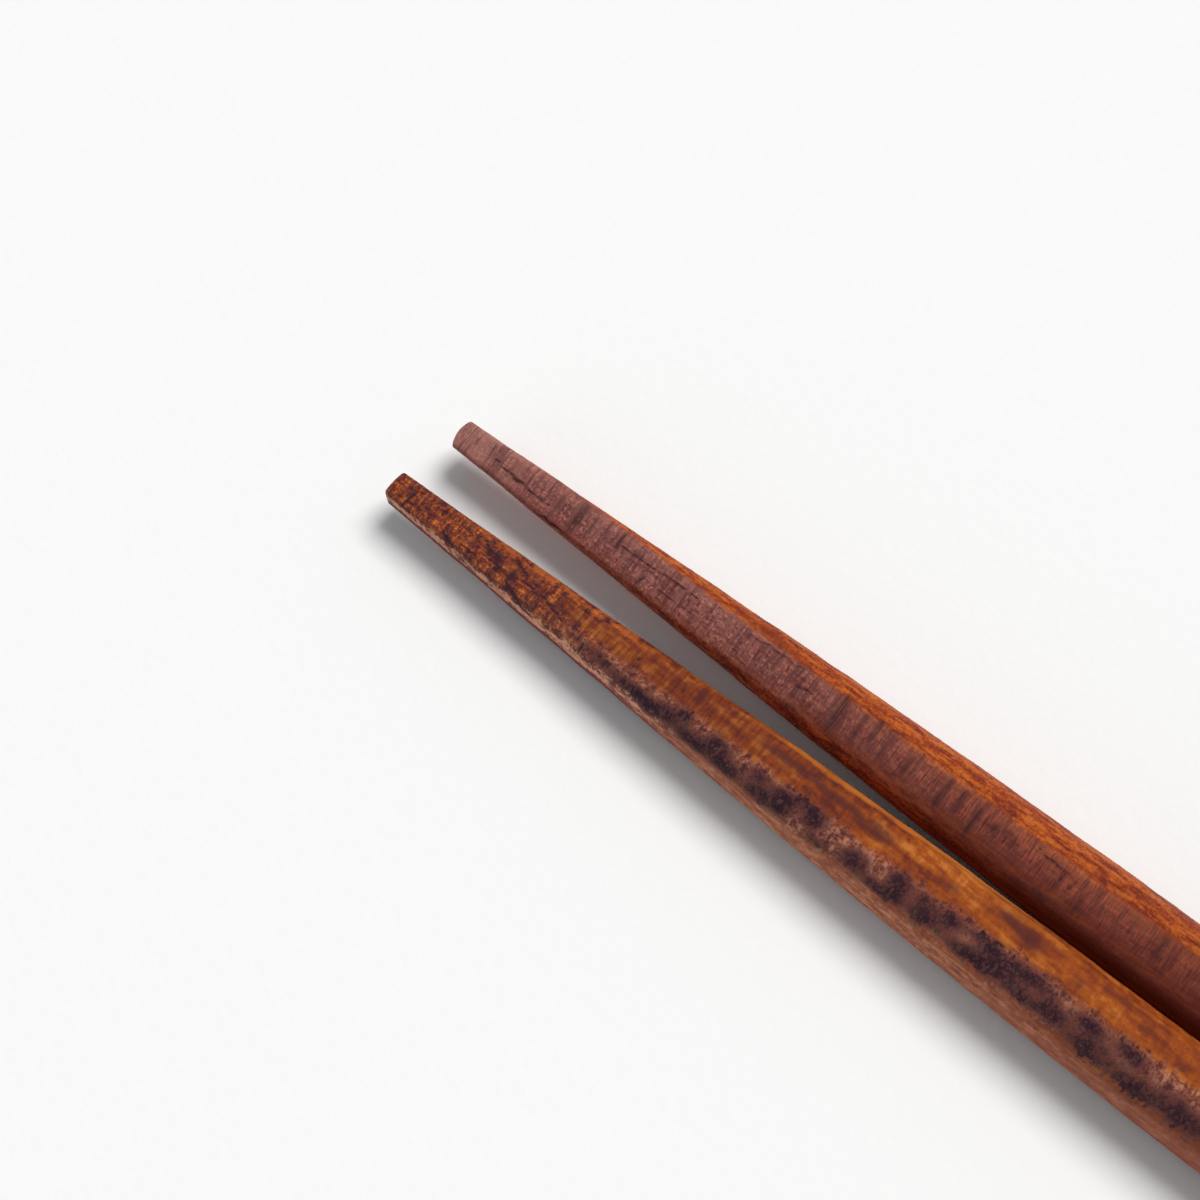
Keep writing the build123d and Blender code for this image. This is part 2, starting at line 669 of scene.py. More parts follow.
    def clouded(self, wood: Wood, colour: Wire) -> Wire:
        """Lay browner reaches, the brown clouds and a painted golden highlight along the far corner over the
        amber.

        Args:
            wood: the wood in work.
            colour: the colour so far.

        Returns:
            The new colour.
        """
        along = wood.along
        cloud, lump, fine = wood.noises(self.cloud, self.lump, self.fine)
        colour = colour.under(along.rise(58.0, 34.0) * 0.62, self.amber_brown)
        colour = colour.under(along.rise(44.0, 62.0) * 0.42, self.amber_deep)
        clouds = (wood.field(Field.CLOUDS) + lump.swing(0.8) + fine.swing(0.56)).rise(0.12, 0.95)
        colour = colour.under(clouds * 0.8, self.cloud_brown)
        # Painted highlight: a golden line along the far corner of the body
        rim_light = wood.field(Field.SHARE).within(0.45, 0.66, 0.07) * along.within(38.0, 64.0, 8.0)
        return colour.under(rim_light * cloud.rise(0.36, 0.58) * 0.75, self.rim_highlight_gold)

    def mottled_tip(self, wood: Wood, colour: Wire) -> Wire:
        """Lay the tip's dense mottle with its net of dark threads, and a painted orange highlight along the
        far corner.

        Args:
            wood: the wood in work.
            colour: the colour so far.

        Returns:
            The new colour.
        """
        along = wood.along
        grain, fine, lump = wood.noises(self.grain, self.fine, self.lump)
        warp, weft, cloud = wood.noises(self.warp, self.weft, self.cloud)
        mottle = (grain * 0.24 + fine * 0.22 + weft * 0.20 + warp * 0.18 + lump * 0.16).ramp(self.mottle)
        mottle = mottle.under(lump.rise(0.53, 0.64) * 0.5, self.patch_brown)
        net = warp.within(*self.net).most(weft.within(*self.net)) * lump.rise(0.44, 0.56)
        mottle = mottle.under(net * 0.6, self.mark_dark)
        colour = colour.under((along + cloud.swing(24.0)).rise(30.0, 16.0), mottle)
        # Painted highlight: an orange line along the far corner near the tip
        rim_light = wood.field(Field.SHARE).within(0.32, 0.60, 0.08) * along.within(9.0, 26.0, 3.0)
        return colour.under(rim_light * lump.rise(0.36, 0.56) * 0.6, self.tip_rim_highlight)

    def ridge_band(self, wood: Wood, colour: Wire) -> Wire:
        """Lay the brown and pink band along the ridge towards the viewer, whose palest pink is painted
        glints.

        Args:
            wood: the wood in work.
            colour: the colour so far.

        Returns:
            The new colour.
        """
        along = wood.along
        grain, fine, lump, weft = wood.noises(self.grain, self.fine, self.lump, self.weft)
        uneven = wood.across + lump.swing(2.2) + weft.swing(1.4)
        band = (uneven - along.rise(50.0, 66.0) * 0.45).rise(-0.2, -1.0) * uneven.rise(-3.9, -3.1)
        band = band * along.rise(15.0, 28.0) * along.rise(125.0, 90.0)
        ridge = (fine * 0.34 + lump * 0.26 + weft * 0.20 + grain * 0.20).ramp(self.ridge)
        return colour.under(band * 0.92, ridge)

    def lower_side(self, wood: Wood, colour: Wire) -> Wire:
        """Lay the paler side below the ridge, which is redder at the tip and towards the underside.

        Args:
            wood: the wood in work.
            colour: the colour so far.

        Returns:
            The new colour.
        """
        along, share = wood.along, wood.field(Field.SHARE)
        fine, lump, warp, cloud = wood.noises(self.fine, self.lump, self.warp, self.cloud)
        side = (warp * 0.34 + lump * 0.36 + fine * 0.30).ramp(self.lower)
        side = side.under(along.rise(38.0, 22.0), self.lower_tip)
        side = side.under(along.rise(50.0, 85.0) * 0.6, self.lower_grip)
        side = side.under(share.rise(-1.05, -1.45) * 0.45, self.lower_tip)
        below = wood.across + lump.swing(2.4) + cloud.swing(2.0) + fine.swing(1.2)
        below = (below + along.rise(60.0, 76.0) * 0.55).rise(-3.0, -3.8)
        tip_side = share.rise(-1.0, -1.12) * along.rise(30.0, 18.0)
        underside = share.rise(-1.5, -1.8)
        return colour.under(below.most(tip_side) * (1.0 - underside), side)

    def stained(self, wood: Wood, colour: Wire) -> tuple[Wire, Wire]:
        """Lay the ridge's dark stains, a haze round them and painted pale glints between them.

        Args:
            wood: the wood in work.
            colour: the colour so far.

        Returns:
            The new colour, and how strong the stain is.
        """
        grain, fine, lump, weft = wood.noises(self.grain, self.fine, self.lump, self.weft)
        stained = wood.field(Field.STAINS)
        reach = wood.across.within(-3.2, -0.8, 0.4) * wood.along.within(26.0, 100.0, 4.0)
        broken = stained + reach * 0.15 + lump.swing(1.8) + weft.swing(1.7) + fine.swing(1.0)
        haze = broken.rise(-0.05, 0.70) * stained.rise(0.0, 0.20).most(reach)
        colour = colour.under(haze * 0.42, self.stain_haze)
        stain = (broken + fine.swing(1.6) + grain.swing(0.6)).rise(0.34, 1.10) * stained.rise(0.0, 0.40)
        colour = colour.under(stain * 0.95, self.stain_dark)
        # Painted glints: pale dots between the stains
        glints = (weft * 0.36 + fine * 0.36 + lump * 0.28).rise(0.50, 0.58) * reach
        return colour.under(glints * (1.0 - stain * 0.8) * 0.6, self.glint_pale), stain

    def rubbed_and_glint(self, wood: Wood, colour: Wire) -> Wire:
        """Lay the pale patches and edge of the tip, partly wear and partly painted glints.

        Args:
            wood: the wood in work.
            colour: the colour so far.

        Returns:
            The new colour.
        """
        share = wood.field(Field.SHARE)
        grain, fine, lump = wood.noises(self.grain, self.fine, self.lump)
        edge = share.rise(-0.42, -0.84) * share.rise(-1.18, -1.0) * wood.along.rise(38.0, 24.0) * 0.9
        rubbed_and_glint = wood.field(Field.WORN).most(edge)
        broken = rubbed_and_glint + lump.swing(2.4) + fine.swing(2.2) + grain.swing(1.6)
        wear_and_glint = broken.rise(0.30, 1.05) * rubbed_and_glint.rise(0.05, 0.4)
        # Pale wear with painted glints on the tip's near edge and patches
        return colour.under(wear_and_glint * 0.85, self.wear_and_glint_pale)

    def marked(self, wood: Wood) -> Wire:
        """Break the placed spots and cracks up with the grain.

        Args:
            wood: the wood in work.

        Returns:
            How strong the dark marks are.
        """
        grain, lump = wood.noises(self.grain, self.lump)
        spotted = wood.field(Field.SPOTS)
        spots = (spotted + lump.swing(1.4) + grain.swing(2.0)).rise(0.25, 0.75)
        lines = (wood.field(Field.CRACKS) + grain.swing(0.9)).rise(0.22, 0.66)
        return (spots * spotted.rise(0.02, 0.25)).most(lines)


@dataclass(frozen=True)
class FarFinish(WoodFinish):
    """The far stick: a red-brown upper face with a painted pale sheen, crossed by fine checks, between orange
    flanks.
    """

    name: str = "far_wood"
    fine: Noise = Noise(0.26, 0.26, 27.7, 0.65)
    checks: Noise = Noise(0.17, 1.9, 13.7, 0.65)
    bands: Noise = Noise(0.62, 7.0, 21.1)
    fibre: Noise = Noise(2.2, 0.42, 33.3)
    body_reach: Spot = (26.0, 62.0)
    # Where the painted shade and bounce light of the gap between the sticks fade out along the stick
    crevice_reach: Spot = (150.0, 100.0)
    # The upper face's palest pink stops are partly a painted sheen on the lacquer
    face: Stops = (
        (0.415, paint(78, 34, 34)),
        (0.46, paint(108, 55, 51)),
        (0.51, paint(139, 77, 69)),
        (0.57, paint(184, 121, 106)),
    )
    flank: Stops = (
        (0.38, paint(106, 39, 28)),
        (0.45, paint(138, 57, 29)),
        (0.51, paint(160, 72, 29)),
        (0.60, paint(186, 98, 40)),
    )
    body: Stops = (
        (0.41, paint(68, 24, 20)),
        (0.46, paint(112, 49, 37)),
        (0.50, paint(140, 66, 48)),
        (0.58, paint(166, 86, 62)),
    )
    # The flank turned to the near stick: redder and darker, painted shade
    near_flank: Stops = (
        (0.39, paint(92, 31, 20)),
        (0.46, paint(126, 47, 29)),
        (0.52, paint(154, 64, 36)),
        (0.60, paint(188, 90, 44)),
    )
    # Painted sheen on the face near the tip
    tip_sheen: Colour = paint(176, 122, 110)
    tip_red: Colour = paint(168, 78, 66)
    # Painted light on the face's far side, then painted shade
    body_far_light: Colour = paint(164, 90, 58)
    body_shade: Colour = paint(70, 24, 16)
    band_dark: Colour = paint(76, 36, 40)
    band_pale: Colour = paint(160, 104, 91)
    check_dark: Colour = paint(50, 21, 25)
    # Painted shade, then painted bounce light from the near stick, on the flank turned to it
    near_shade: Colour = paint(74, 24, 16)
    near_bounce_light: Colour = paint(168, 68, 32)
    cracks: tuple[Crack, ...] = (
        Crack(((4.2, 0.05), (5.95, -0.14), (7.55, -0.36), (9.05, -0.41), (10.35, -0.5), (11.6, -0.32)), 0.10),
        Crack(((5.6, -0.1), (7.2, -0.34), (8.6, -0.42)), 0.17),
        Crack(((10.5, -1.7), (13.5, -1.7)), 0.17, 0.8),
        Crack(((17.2, 0.4), (20.1, 0.45), (22.7, 0.59), (25.3, 0.7), (27.0, 0.4)), 0.11, 0.85),
        Crack(((22.4, -0.65), (25.8, -0.72), (29.8, -0.8), (32.0, -0.84)), 0.10, 0.75),
        Crack(((21.6, -0.3), (21.1, -1.9)), 0.09, 0.75),
        Crack(((31.2, 0.9), (34.4, 1.06), (37.4, 1.17)), 0.10, 0.75),
        Crack(((37.0, -0.2), (38.5, -0.03)), 0.12, 0.85),
        Crack(((47.0, 0.95), (51.0, 0.8)), 0.10, 0.65),
        Crack(((58.4, 1.05), (63.6, 0.32)), 0.13, 0.7),
    )
    streaks: tuple[Blotch, ...] = blotches(
        (4.05, 0.1, 0.17, 1.17, 0.89), (6.35, 0.05, 0.15, 1.04, 0.59), (7.6, 0.3, 0.21, 0.91, 0.50),
        (11.7, 0.0, 0.35, 1.56, 0.69), (13.8, 0.2, 0.58, 1.82, 0.94), (15.2, 0.1, 0.21, 1.43, 0.59),
        (18.05, 1.0, 0.23, 1.17, 0.94), (18.9, 0.5, 0.16, 1.17, 0.59), (23.4, 0.0, 0.16, 1.17, 0.50),
        (25.3, -0.4, 0.17, 1.43, 0.69), (28.4, -0.3, 0.17, 1.04, 0.50), (30.7, 0.25, 0.18, 1.30, 0.75),
        (34.8, 0.5, 0.21, 1.04, 0.79), (36.6, 0.6, 0.32, 0.91, 0.69), (37.3, -0.2, 0.25, 1.17, 0.94),
        (41.1, 0.0, 0.58, 1.95, 0.99), (43.0, 0.1, 0.46, 1.56, 0.79), (44.2, 0.5, 0.32, 1.17, 0.99),
        (45.6, 0.4, 0.18, 1.17, 0.59), (47.7, -0.1, 0.40, 1.04, 0.79), (51.1, -0.1, 0.37, 1.56, 0.85),
        (52.6, 0.1, 0.40, 1.17, 0.89), (54.3, -0.6, 0.21, 1.56, 0.85), (61.9, -0.3, 0.35, 1.17, 0.69),
        (64.0, -0.5, 0.40, 1.17, 0.69), (70.5, 0.2, 0.58, 1.30, 0.69), (77.0, -0.2, 0.58, 1.56, 0.69),
        kind=Streak,
    )
    smudges: tuple[Blotch, ...] = blotches(
        (37.6, -1.9, 0.9, 0.35, 1.0), (55.6, 0.1, 0.6, 0.5, 0.9), (56.9, 0.35, 0.6, 0.4, 0.9),
        (61.4, -1.95, 2.4, 0.3, 0.8),
    )
    flecks: tuple[Blotch, ...] = blotches(
        (29.8, 2.0, 0.8, 0.3, 0.8), (33.1, 2.0, 2.8, 0.55, 0.9), (43.6, 2.25, 0.8, 0.25, 0.8),
        (52.7, 2.6, 1.0, 0.3), (55.8, 2.4, 1.0, 0.4, 0.9), (62.6, 2.6, 0.7, 0.3, 0.9),
        (64.1, 2.45, 0.6, 0.34, 0.9), (67.4, 2.7, 1.0, 0.34),
    )

    def placed(self) -> dict[Field, tuple[Mark, ...]]:
        """The placed marks by kind."""
        stains = (*self.streaks, *self.smudges)
        return {Field.CRACKS: self.cracks, Field.CLOUDS: self.flecks, Field.STAINS: stains}

    def material(self, place: Vector, turn: Euler) -> bpy.types.Material:
        """Lay the far stick's colours: flanks, upper face, then its streaks and cracks.

        Args:
            place: the tip's middle in the scene, in metres.
            turn: how the stick is turned in the scene.

        Returns:
            The material.
        """
        wood = Wood(self.name, place, turn)
        along = wood.along
        fine, checks, bands = wood.noises(self.fine, self.checks, self.bands)
        orange, colour = self.flanks(wood)
        hair = checks.rise(0.555, 0.63) * 0.55
        face = self.face_share(wood)
        colour = colour.under(face, self.upper_face(wood).under(hair, self.check_dark))
        # Painted shade: the whole stick darker towards the body, fading out beyond the view
        colour = colour.under(along.rise(62.0, 80.0) * along.rise(*self.crevice_reach) * 0.3, self.body_shade)
        threads = checks.rise(0.38, 0.60) * 0.55 + 0.35
        stain = (wood.field(Field.STAINS) + fine.swing(0.8)).rise(0.10, 0.95) * threads
        lines = (wood.field(Field.CRACKS) + fine.swing(0.9)).rise(0.30, 0.80)
        colour = colour.under(stain.most(lines * 0.9), self.check_dark)
        colour = colour.under(along.rise(*self.end_grain), orange)
        coat = (1.0 - lines) * (face * along.rise(75.0, 5.0) * 0.14 + 0.08)
        rough = fine * 0.3 + 0.42
        height = fine * 0.6 - hair * 0.9 - lines * 1.2 + bands * 0.4
        return self.close(wood, colour, rough, coat, height)

    def flanks(self, wood: Wood) -> tuple[Wire, Wire]:
        """Orange flanks with lengthwise flecks; on the side turned to the near stick painted shade makes them
        redder and darker, with painted bounce light low down.

        Args:
            wood: the wood in work.

        Returns:
            The plain orange wood, and the colour of the flanks.
        """
        along, across = wood.along, wood.across
        fine, fibre = wood.noises(self.fine, self.fibre)
        crevice = along.rise(*self.crevice_reach)
        lengthwise = fibre * 0.62 + fine * 0.38
        orange = lengthwise.ramp(self.flank)
        flecks = (wood.field(Field.CLOUDS) + fibre.swing(1.6)).rise(0.30, 0.95)
        darkest = self.flank[0][1]
        flank = orange.under(flecks * 0.75, darkest)
        turned_down = across.rise(-1.0, -2.5)
        # Painted shade on the flank turned to the near stick, deepest along the body
        flank = flank.under(turned_down, lengthwise.ramp(self.near_flank))
        flank = flank.under(turned_down * along.rise(34.0, 66.0) * crevice * 0.92, self.near_shade)
        # Painted bounce light: orange low on the near flank, lit from the near stick
        bounce_light_mask = across.within(-5.6, -3.8, 0.5) * along.rise(*self.body_reach) * crevice
        return orange, flank.under(bounce_light_mask * 0.8, self.near_bounce_light)

    def upper_face(self, wood: Wood) -> Wire:
        """The upper face: red-brown, with a painted sheen paler at the tip, painted light on its far side and
        painted shade towards the near stick.

        Args:
            wood: the wood in work.

        Returns:
            Its colour.
        """
        along, across = wood.along, wood.across
        fine, checks, bands, fibre = wood.noises(self.fine, self.checks, self.bands, self.fibre)
        body = along.rise(*self.body_reach)
        face = (fine * 0.33 + checks * 0.34 + fibre * 0.17 + bands * 0.16).ramp(self.face)
        # Painted sheen: the face paler towards the tip and, there, towards its far side
        face = face.under(along.rise(12.0, 1.0) * 0.55, self.tip_sheen)
        face = face.under(across.rise(0.3, 1.3) * (1.0 - body) * 0.25, self.tip_sheen)
        across_grain = checks * 0.46 + bands * 0.28 + fibre * 0.18 + fine * 0.08
        face = face.under(body * 0.9, across_grain.ramp(self.body))
        # Painted light: the face's far side, turned to the key lamp, paler along the body
        face = face.under(body * across.rise(-0.4, 1.3) * 0.4, self.body_far_light)
        face = face.under(bands.rise(0.50, 0.62) * 0.6, self.band_dark)
        face = face.under(bands.rise(0.48, 0.37) * (1.0 - body * 0.7) * 0.35, self.band_pale)
        # Painted shade on the face's side towards the near stick, along the body
        shaded = along.rise(20.0, 54.0) * across.rise(0.6, -2.0) * along.rise(*self.crevice_reach)
        face = face.under(shaded * 0.76, self.body_shade)
        return face.under(across.rise(-0.6, -1.8) * along.rise(24.0, 12.0) * 0.5, self.tip_red)

    def face_share(self, wood: Wood) -> Wire:
        """Where the upper face lies: a ragged strip about three millimetres wide, wider at the tip.

        Args:
            wood: the wood in work.

        Returns:
            1 on the face, 0 on the flanks.
        """
        along, across = wood.along, wood.across
        fine, fibre = wood.noises(self.fine, self.fibre)
        ragged = fine.swing(1.2) + fibre.swing(0.6)
        far_limit = (across + ragged * 0.8 - along.rise(30.0, 14.0) * 0.45).rise(1.70, 1.20)
        near_limit = (across + ragged * 1.4 + along.rise(16.0, 5.0)).rise(-2.8, -0.8)
        return far_limit * near_limit


# The sticks


@dataclass(frozen=True)
class StickForm:
    """Sizes of one stick in millimetres, and the rows and columns of its skin."""

    length: float = 230.0
    tip_width: float = 2.5
    tip_corner: float = 0.35
    tip_edge: float = 0.28
    shoulder_reach: float = 55.0
    shoulder_width: float = 7.3
    shoulder_blend: float = 24.0
    grip_width: float = 8.0
    grip_edge: float = 1.8
    fine_reach: float = 92.0
    fine_step: float = 0.14
    coarse_step: float = 0.95
    flat_columns: int = 8
    corner_columns: int = 20
    cap_rows: int = 5
    edge_rows: int = 9

    @property
    def flat(self) -> float:
        """Width of the flat that runs down each of the four sides."""
        return self.tip_width - 2 * self.tip_corner

    @property
    def slopes(self) -> tuple[float, float]:
        """How steeply a side rises: the arc tangent of its corner's growth over the length it takes.

        Returns:
            Its angle along the tip and along the body, in radians.
        """
        shoulder = (self.shoulder_width - self.flat) / 2
        grip = (self.grip_width - self.flat) / 2
        tip_slope = atan((shoulder - self.tip_corner) / self.shoulder_reach)
        return tip_slope, atan((grip - shoulder) / (self.length - self.shoulder_reach))

    def corner(self, along: np.ndarray) -> np.ndarray:
        """Corner radius at each distance from the tip.

        A straight line up the tip slope, an arc tangent to both slopes, and a straight line along the body.

        Args:
            along: distances from the tip.

        Returns:
            The corner radii.
        """
        tip_slope, body_slope = self.slopes
        shoulder = (self.shoulder_width - self.flat) / 2
        radius = self.shoulder_blend / tan((tip_slope - body_slope) / 2)
        start = self.shoulder_reach - self.shoulder_blend * cos(tip_slope)
        end = self.shoulder_reach + self.shoulder_blend * cos(body_slope)
        middle = start + radius * sin(tip_slope)
        base = shoulder - self.shoulder_blend * sin(tip_slope) - radius * cos(tip_slope)
        arc = base + np.sqrt(radius**2 - (np.clip(along, start, end) - middle) ** 2)
        line = self.tip_corner + along * tan(tip_slope)
        body = shoulder + (along - self.shoulder_reach) * tan(body_slope)
        return np.select([along < start, along > end], [line, body], arc)

    def rows(self) -> tuple[np.ndarray, np.ndarray, np.ndarray]:
        """The profile that is carried round the section, from the tip's middle to the grip's middle.

        Each end is a flat face that grows from its middle, then a quarter round, then the long skin between.

        Returns:
            For each row the distance along, the corner radius and the share of the square core.
        """
        tip_slope, body_slope = self.slopes
        grip_corner = (self.grip_width - self.flat) / 2
        turn = np.linspace(pi, pi / 2 + tip_slope, self.edge_rows)
        tip_middle = self.tip_corner + self.tip_edge * (tan(tip_slope) - 1 / cos(tip_slope))
        tip_along = self.tip_edge * (1 + np.cos(turn))
        tip_radius = tip_middle + self.tip_edge * np.sin(turn)
        turn = np.linspace(pi / 2 + body_slope, 0.0, self.edge_rows)
        grip_middle = grip_corner - self.grip_edge * (tan(body_slope) + 1 / cos(body_slope))
        grip_along = self.length - self.grip_edge + self.grip_edge * np.cos(turn)
        grip_radius = grip_middle + self.grip_edge * np.sin(turn)
        fine = np.arange(tip_along[-1] + self.fine_step, self.fine_reach, self.fine_step)
        coarse = np.arange(self.fine_reach, grip_along[0] - self.coarse_step / 2, self.coarse_step)
        skin = np.concatenate([fine, coarse])
        grow = np.arange(1, self.cap_rows + 1) / self.cap_rows
        none, full = np.zeros(self.cap_rows), np.ones(len(skin) + 2 * self.edge_rows)
        along = np.concatenate([none, tip_along, skin, grip_along, none + self.length])
        radius = np.concatenate([none, tip_radius, self.corner(skin), grip_radius, none])
        return along, radius, np.concatenate([grow, full, grow[::-1]])

    def columns(self) -> tuple[np.ndarray, np.ndarray, np.ndarray]:
        """The way round the section, from the middle of the underside over the near side and back.

        Running sums of the steps along the four flats and of the turns at the four corners.

        Returns:
            For each column the length of flat passed, the angle turned (both from the middle of the
            upper side) and the place on the square core, with the first column repeated at the end.
        """
        corner, flat = self.corner_columns, self.flat_columns
        side = np.concatenate([np.zeros(corner), np.full(flat, self.flat / flat)])
        turns = np.concatenate([np.full(corner, pi / 2 / corner), np.zeros(flat)])
        half = flat // 2
        flat_steps = np.roll(np.tile(side, 4), half)
        turn_steps = np.roll(np.tile(turns, 4), half)
        passed = np.concatenate([[0.0], np.cumsum(flat_steps)])
        turned = np.concatenate([[0.0], np.cumsum(turn_steps)]) - pi
        steps = flat_steps[:, None] * np.stack([np.cos(turned[:-1]), -np.sin(turned[:-1])], 1)
        first = np.array([[0.0, -self.flat / 2]])
        core = np.concatenate([first, first + np.cumsum(steps, 0)])
        return passed - 2 * self.flat, turned, core


@dataclass(frozen=True)
class Wear:
    """Uneven hand-finished skin: shallow hollows and a blunted tip, always inwards, in millimetres."""

    seed: int
    blunt: float
    blunt_reach: float = 1.8
    blunt_limit: float = 1.3
    ease_reach: float = 3.0
    depth: float = 0.05
    waves: int = 18
    lengths: Spot = (3.0, 14.0)
    pit_depth: float = 0.012
    pit_waves: int = 40
    pit_lengths: Spot = (0.6, 1.6)
    wander: float = 0.09
    wander_waves: int = 30
    wander_lengths: Spot = (0.7, 5.0)

    def hollow(self, along: np.ndarray, turned: np.ndarray) -> np.ndarray:
        """How deep the skin lies under the true form at each row and column.

        Args:
            along: distance along of each row.
            turned: angle of each column.

        Returns:
            Depths, none above the form.
        """
        wide = ripple(along, turned, self.waves, self.lengths, self.seed)
        pits = ripple(along, turned, self.pit_waves, self.pit_lengths, self.seed + 1)
        depth = self.depth * (1 + np.clip(wide, -1, 1)) / 2 + self.pit_depth * (1 + np.clip(pits, -1, 1)) / 2
        from_grip = along[-1] - along
        ease = np.clip(along / self.ease_reach, 0, 1) * np.clip(from_grip / self.ease_reach, 0, 1)
        return depth * ease[:, None]

    def set_back(self, along: np.ndarray, out: np.ndarray, half_width: float) -> np.ndarray:
        """Shift at the tip: the square of the way out from the axis times that of the reach left."""
        fade = np.clip(1 - along / self.blunt_reach, 0, 1) ** 2
        return self.blunt * fade * np.minimum(out / half_width, self.blunt_limit) ** 2

    def wavy(self, along: np.ndarray, turned: np.ndarray) -> tuple[np.ndarray, np.ndarray]:
        """Small shifts along and across that keep placed marks from being straight."""
        waves = (self.wander_waves, self.wander_lengths)
        return tuple(self.wander * ripple(along, turned, *waves, self.seed + step) for step in (2, 3))


@dataclass
class Chopstick:
    """One stick of the pair: its skin, its place beside the other stick and its finish."""

    node: str
    slot: str
    side: Side
    roll: float
    finish: NearFinish | FarFinish
    wear: Wear
    form: StickForm = field(default_factory=StickForm)

    @property
    def turn(self) -> Euler:
        """Roll about the axis, pitch until the underside is level, yaw until the inner side runs along X."""
        body_slope = self.form.slopes[1]
        return Euler((self.roll, -body_slope, self.side.value * body_slope))

    def skin(self, hollow: np.ndarray | float) -> np.ndarray:
        """Work out the skin in the stick's own frame, tip at the origin, in millimetres.

        A point is the core's place plus the corner radius, less the hollow, in the direction of the column.

        Args:
            hollow: wear at each row and column.

        Returns:
            Points by row and column.
        """
        along, radius, share = self.form.rows()
        _, turned, core = self.form.columns()
        reach = np.maximum(radius[:, None] - hollow * (share[:, None] == 1.0), 0.0) * (radius[:, None] > 0)
        reach = np.broadcast_to(reach, (len(along), len(turned)))
        facing = np.stack([np.sin(turned), np.cos(turned)], 1)
        section = share[:, None, None] * core + reach[:, :, None] * facing
        lengthwise = np.broadcast_to(along[:, None, None], (*reach.shape, 1))
        return np.concatenate([lengthwise, section], 2)

    def worn_skin(self) -> np.ndarray:
        """Wear the skin: hollows all over, and each point moved along by its set-back at the tip.

        Returns:
            Points by row and column.
        """
        along, _, _ = self.form.rows()
        _, turned, _ = self.form.columns()
        points = self.skin(self.wear.hollow(along, turned))
        out = np.hypot(points[:, :, 1], points[:, :, 2])
        back = self.wear.set_back(points[:, :, 0], out, self.form.tip_width / 2)
        return points + back[:, :, None] * np.array([1.0, 0.0, 0.0])

    def unrolled(self) -> tuple[np.ndarray, np.ndarray, np.ndarray]:
        """Where each point lies on the unrolled skin.

        Returns:
            Distance along, distance across, and across as a share of one side's length.
        """
        along, radius, share = self.form.rows()
        passed, turned, _ = self.form.columns()
        across = share[:, None] * passed + radius[:, None] * turned
        side = share * self.form.flat + radius * pi / 2
        return np.broadcast_to(along[:, None], across.shape), across, across / side[:, None]

    def place(self) -> Vector:
        """Where the tip lies: the middle of the frame's own box less the middle of the turned true form.

        Returns:
            Place of the tip's middle in the scene, in metres.
        """
        low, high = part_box(self.node)
        turned = self.skin(0.0).reshape(-1, 3) @ np.array(self.turn.to_matrix()).T * MM
        middle = Vector((turned.min(0) + turned.max(0)) / 2)
        return (low + high) / 2 - middle

    def mesh(self, place: Vector) -> bpy.types.Mesh:
        """Close the skin to a mesh: quads between rows, and a fan of triangles at each end.

        Args:
            place: where the tip's middle lies, in metres.

        Returns:
            The mesh, without its map, marks and material.
        """
        points = self.worn_skin()[:, :-1]
        rows, columns = points.shape[:2]
        ends = np.array([[0.0, 0.0, 0.0], [self.form.length, 0.0, 0.0]])
        local = np.concatenate([points.reshape(-1, 3), ends])
        world = local @ np.array(self.turn.to_matrix()).T * MM + np.array(place)
        row, column = (index.ravel() for index in np.mgrid[0 : rows - 1, 0:columns])
        this, beside = row * columns + column, row * columns + (column + 1) % columns
        quads = np.stack([this, this + columns, beside + columns, beside], 1)
        first = np.arange(columns)
        second = (first + 1) % columns
        last = (rows - 1) * columns
        tip_fan = np.stack([np.full(columns, rows * columns), first, second], 1)
        grip_fan = np.stack([np.full(columns, rows * columns + 1), last + second, last + first], 1)
        mesh = bpy.data.meshes.new(f"{self.node}_skin")
        mesh.from_pydata(world.tolist(), [], [*quads.tolist(), *tip_fan.tolist(), *grip_fan.tolist()])
        mesh.polygons.foreach_set("use_smooth", np.ones(len(mesh.polygons), bool))
        return mesh

    def add_map(self, mesh: bpy.types.Mesh) -> None:
        """Give the mesh its unrolled map, in millimetres along and across.

        Args:
            mesh: the mesh, with its faces in the order that they were made in.
        """
        along, across, _ = self.unrolled()
        rows, wide = along.shape
        row, column = (index.ravel() for index in np.mgrid[0 : rows - 1, 0 : wide - 1])
        corners = np.stack([row * wide + column, (row + 1) * wide + column], 1)
        corners = np.concatenate([corners, corners[:, ::-1] + 1], 1)
        skin = np.stack([along.ravel(), across.ravel()], 1)
        first = np.arange(wide - 1)
        edge = (rows - 1) * wide + first
        pole = np.zeros((wide - 1, 2))
        tip_map = np.stack([pole, skin[first], skin[first + 1]], 1)
        grip_map = np.stack([pole + [self.form.length, 0.0], skin[edge + 1], skin[edge]], 1)
        parts = (skin[corners], tip_map, grip_map)
        layer = mesh.uv_layers.new(name=SKIN_MAP)
        layer.data.foreach_set("uv", np.concatenate([part.ravel() for part in parts]).astype(np.float32))

    def add_marks(self, mesh: bpy.types.Mesh) -> None:
        """Write the finish's placed marks to the mesh's points.

        Args:
            mesh: the mesh, with its points in rows and the two ends last.
        """
        along, across, share = self.unrolled()
        _, turned, _ = self.form.columns()
        shift_along, shift_across = self.wear.wavy(along[:, 0], turned)
        fields = self.finish.fields(along + shift_along, across + shift_across)
        fields[Field.SHARE] = share
        for mark, values in fields.items():
            layer = mesh.attributes.new(mark.value, "FLOAT", "POINT")
            at_points = np.concatenate([values[:, :-1].ravel(), [0.0, 0.0]])
            layer.data.foreach_set("value", at_points.astype(np.float32))

